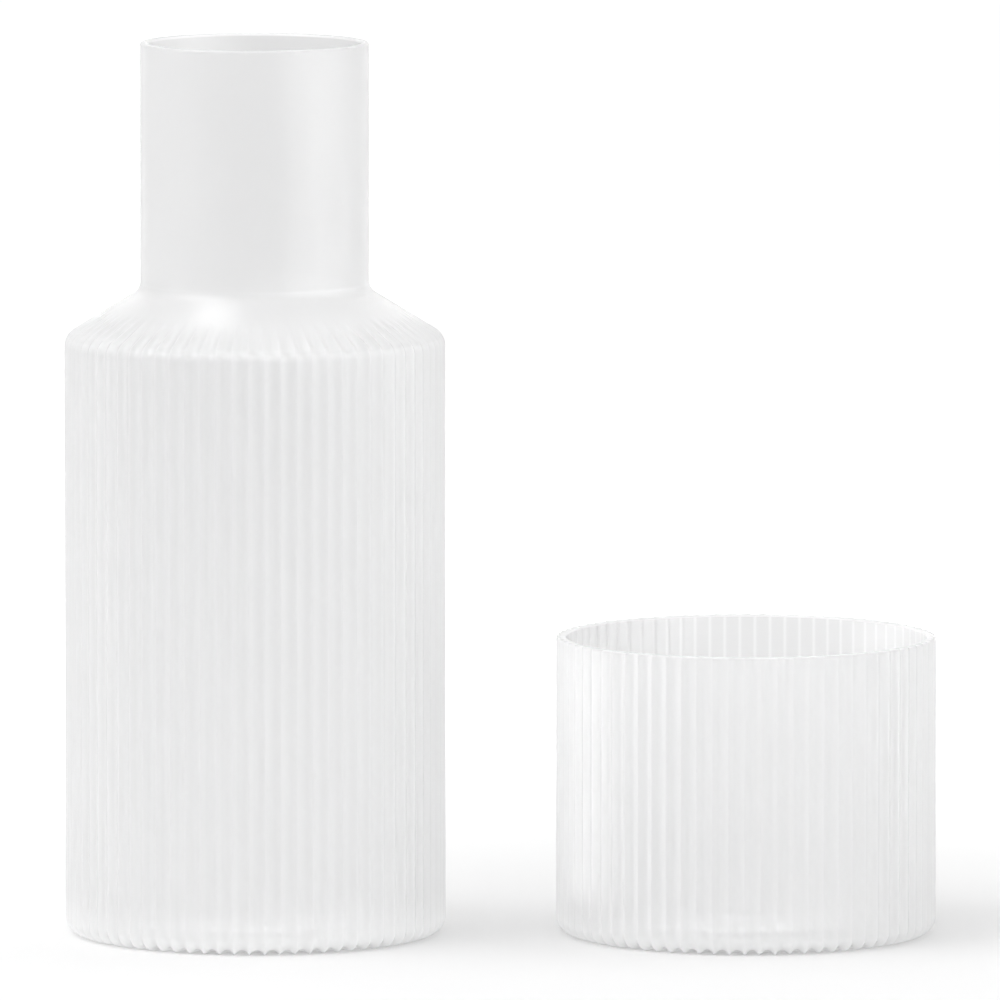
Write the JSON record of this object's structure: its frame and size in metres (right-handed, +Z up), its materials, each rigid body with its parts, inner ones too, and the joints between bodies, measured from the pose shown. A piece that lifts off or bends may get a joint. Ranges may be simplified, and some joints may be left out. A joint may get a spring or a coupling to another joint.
{
  "type": "bedside carafe with tumbler",
  "caption": "Fluted frosted glass water carafe with a sloping shoulder and a plain round neck, and a matching fluted tumbler that covers it when turned over.",
  "frame": {"origin": "centre of the carafe's foot, on the surface that both pieces stand on", "axes": "+Z up along the carafe's axis and out of its mouth; the tumbler stands beside it along +X"},
  "size_m": [0.2062, 0.09, 0.2115],
  "materials": {
    "carafe_glass": "satin",
    "tumbler_glass": "satin"
  },
  "bodies": {
    "carafe": {"carafe": "carafe_glass"},
    "tumbler": {"tumbler": "tumbler_glass"}
  },
  "joints": [
    {"name": "tumbler_lift", "type": "slide", "parent": "carafe", "child": "tumbler", "axis": [0, 0, 1], "range_m": [0, 0.25]}
  ]
}
